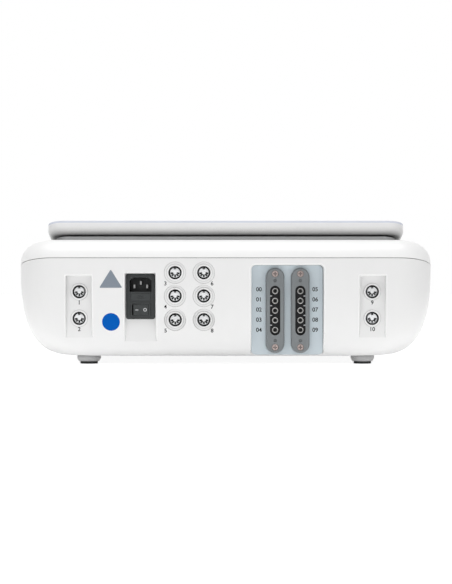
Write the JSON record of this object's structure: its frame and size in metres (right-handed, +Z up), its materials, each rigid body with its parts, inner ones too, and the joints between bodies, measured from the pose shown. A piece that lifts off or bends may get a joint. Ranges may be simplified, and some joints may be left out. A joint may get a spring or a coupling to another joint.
{
  "type": "ecg machine",
  "caption": "Table-top ECG console: wedge-shaped case with a tilting display, keys and paper recorder on its sloping deck, and lead sockets, round ports and a mains inlet in the rear wall.",
  "frame": {"origin": "centre of the footprint on the table", "axes": "+Z up, -Y out of the socket wall, +Y towards the operator, +X to the right seen from the sockets"},
  "size_m": [0.4564, 0.3326, 0.1601],
  "materials": {
    "case_white": "fine satin moulding",
    "display_white": "satin moulding",
    "screen_glass": "polished, bluish at the edge",
    "panel_black": "dark panel",
    "cradle_grey": "satin grey paint",
    "foot_grey": "satin moulding",
    "foot_rubber": "dull rubber",
    "steel": "plain steel",
    "socket_black": "black moulding",
    "socket_silver": "pale metal",
    "contact_metal": "plated contact",
    "inlet_charcoal": "charcoal moulding",
    "plate_blue": "satin, pale steel blue",
    "block_grey": "satin mid grey",
    "screw_copper": "coppery plating",
    "board_green": "circuit board",
    "inner_black": "black parts",
    "transformer_core": "laminated core",
    "can_metal": "plain can",
    "recorder_grey": "satin moulding",
    "paper_white": "wound paper",
    "fuse_glass": "glass tube",
    "key_grey": "satin key cap"
  },
  "bodies": {
    "housing": {"base_shell": "case_white", "top_shell": "case_white", "feet": "foot_grey", "foot_pads": "foot_rubber", "housing_screws": "steel", "din_bezels": "case_white", "din_inserts": "socket_silver", "din_contacts": "contact_metal", "inlet_housing": "inlet_charcoal", "inlet_pins": "steel", "socket_plate": "plate_blue", "lead_block_left": "block_grey", "lead_insert_left": "socket_black", "lead_block_right": "block_grey", "lead_insert_right": "socket_black", "lead_contacts": "socket_silver", "lead_block_screws": "screw_copper", "power_supply_board": "board_green", "main_board": "board_green", "supply_transformer": "transformer_core", "supply_capacitors": "inner_black", "main_board_chips": "inner_black", "lead_amplifier_board": "board_green", "display_cradle": "cradle_grey", "hinge_pins": "steel", "display_bumpers": "foot_rubber", "recorder_frame": "recorder_grey", "feed_motor": "can_metal", "door_hinge_pin": "steel", "key_board": "board_green", "din_socket_1": "socket_black", "din_socket_2": "socket_black", "din_socket_3": "socket_black", "din_socket_4": "socket_black", "din_socket_5": "socket_black", "din_socket_6": "socket_black", "din_socket_7": "socket_black", "din_socket_8": "socket_black", "din_socket_9": "socket_black", "din_socket_10": "socket_black"},
    "display": {"display_back_cover": "display_white", "display_frame": "display_white", "display_glass": "screen_glass", "lcd_module": "panel_black", "display_screws": "steel", "hinge_arm_left": "steel", "hinge_arm_right": "steel"},
    "rocker": {"power_rocker": "inlet_charcoal"},
    "drawer": {"fuse_drawer": "inlet_charcoal", "fuses": "fuse_glass"},
    "recorder_door": {"paper_door": "case_white", "print_head": "inner_black"},
    "roll": {"paper_roll": "paper_white", "paper_spindle": "recorder_grey"},
    "platen": {"platen_roller": "foot_rubber"},
    "key_1_cap": {"key_1": "key_grey"},
    "key_2_cap": {"key_2": "key_grey"},
    "key_3_cap": {"key_3": "key_grey"},
    "key_4_cap": {"key_4": "key_grey"},
    "key_5_cap": {"key_5": "key_grey"}
  },
  "joints": [
    {"name": "display_tilt", "type": "hinge", "parent": "housing", "child": "display", "pos_m": [0, 0.08564, 0.09569], "axis": [-1, 0, 0], "range_deg": [0, 55]},
    {"name": "rocker_swing", "type": "hinge", "parent": "housing", "child": "rocker", "pos_m": [-0.0933, -0.1539, 0.06105], "axis": [0, 0, -1], "range_deg": [0, 12]},
    {"name": "drawer_slide", "type": "slide", "parent": "housing", "child": "drawer", "axis": [0, -1, 0], "range_m": [0, 0.02]},
    {"name": "door_swing", "type": "hinge", "parent": "housing", "child": "recorder_door", "pos_m": [-0.13, 0.09952, 0.07698], "axis": [1, 0, 0], "range_deg": [0, 75]},
    {"name": "platen_turn", "type": "hinge", "parent": "housing", "child": "platen", "pos_m": [-0.13, 0.13478, 0.0551], "axis": [1, 0, 0], "continuous": true},
    {"name": "roll_turn", "type": "hinge", "parent": "housing", "child": "roll", "pos_m": [-0.13, 0.11215, 0.05157], "axis": [1, 0, 0], "continuous": true},
    {"name": "key_1_press", "type": "slide", "parent": "housing", "child": "key_1_cap", "axis": [0, -0.2419, -0.9703], "range_m": [0, 0.0012], "stiffness_N_per_m": 400},
    {"name": "key_2_press", "type": "slide", "parent": "housing", "child": "key_2_cap", "axis": [0, -0.2419, -0.9703], "range_m": [0, 0.0012], "stiffness_N_per_m": 400},
    {"name": "key_3_press", "type": "slide", "parent": "housing", "child": "key_3_cap", "axis": [0, -0.2419, -0.9703], "range_m": [0, 0.0012], "stiffness_N_per_m": 400},
    {"name": "key_4_press", "type": "slide", "parent": "housing", "child": "key_4_cap", "axis": [0, -0.2419, -0.9703], "range_m": [0, 0.0012], "stiffness_N_per_m": 400},
    {"name": "key_5_press", "type": "slide", "parent": "housing", "child": "key_5_cap", "axis": [0, -0.2419, -0.9703], "range_m": [0, 0.0012], "stiffness_N_per_m": 400}
  ]
}
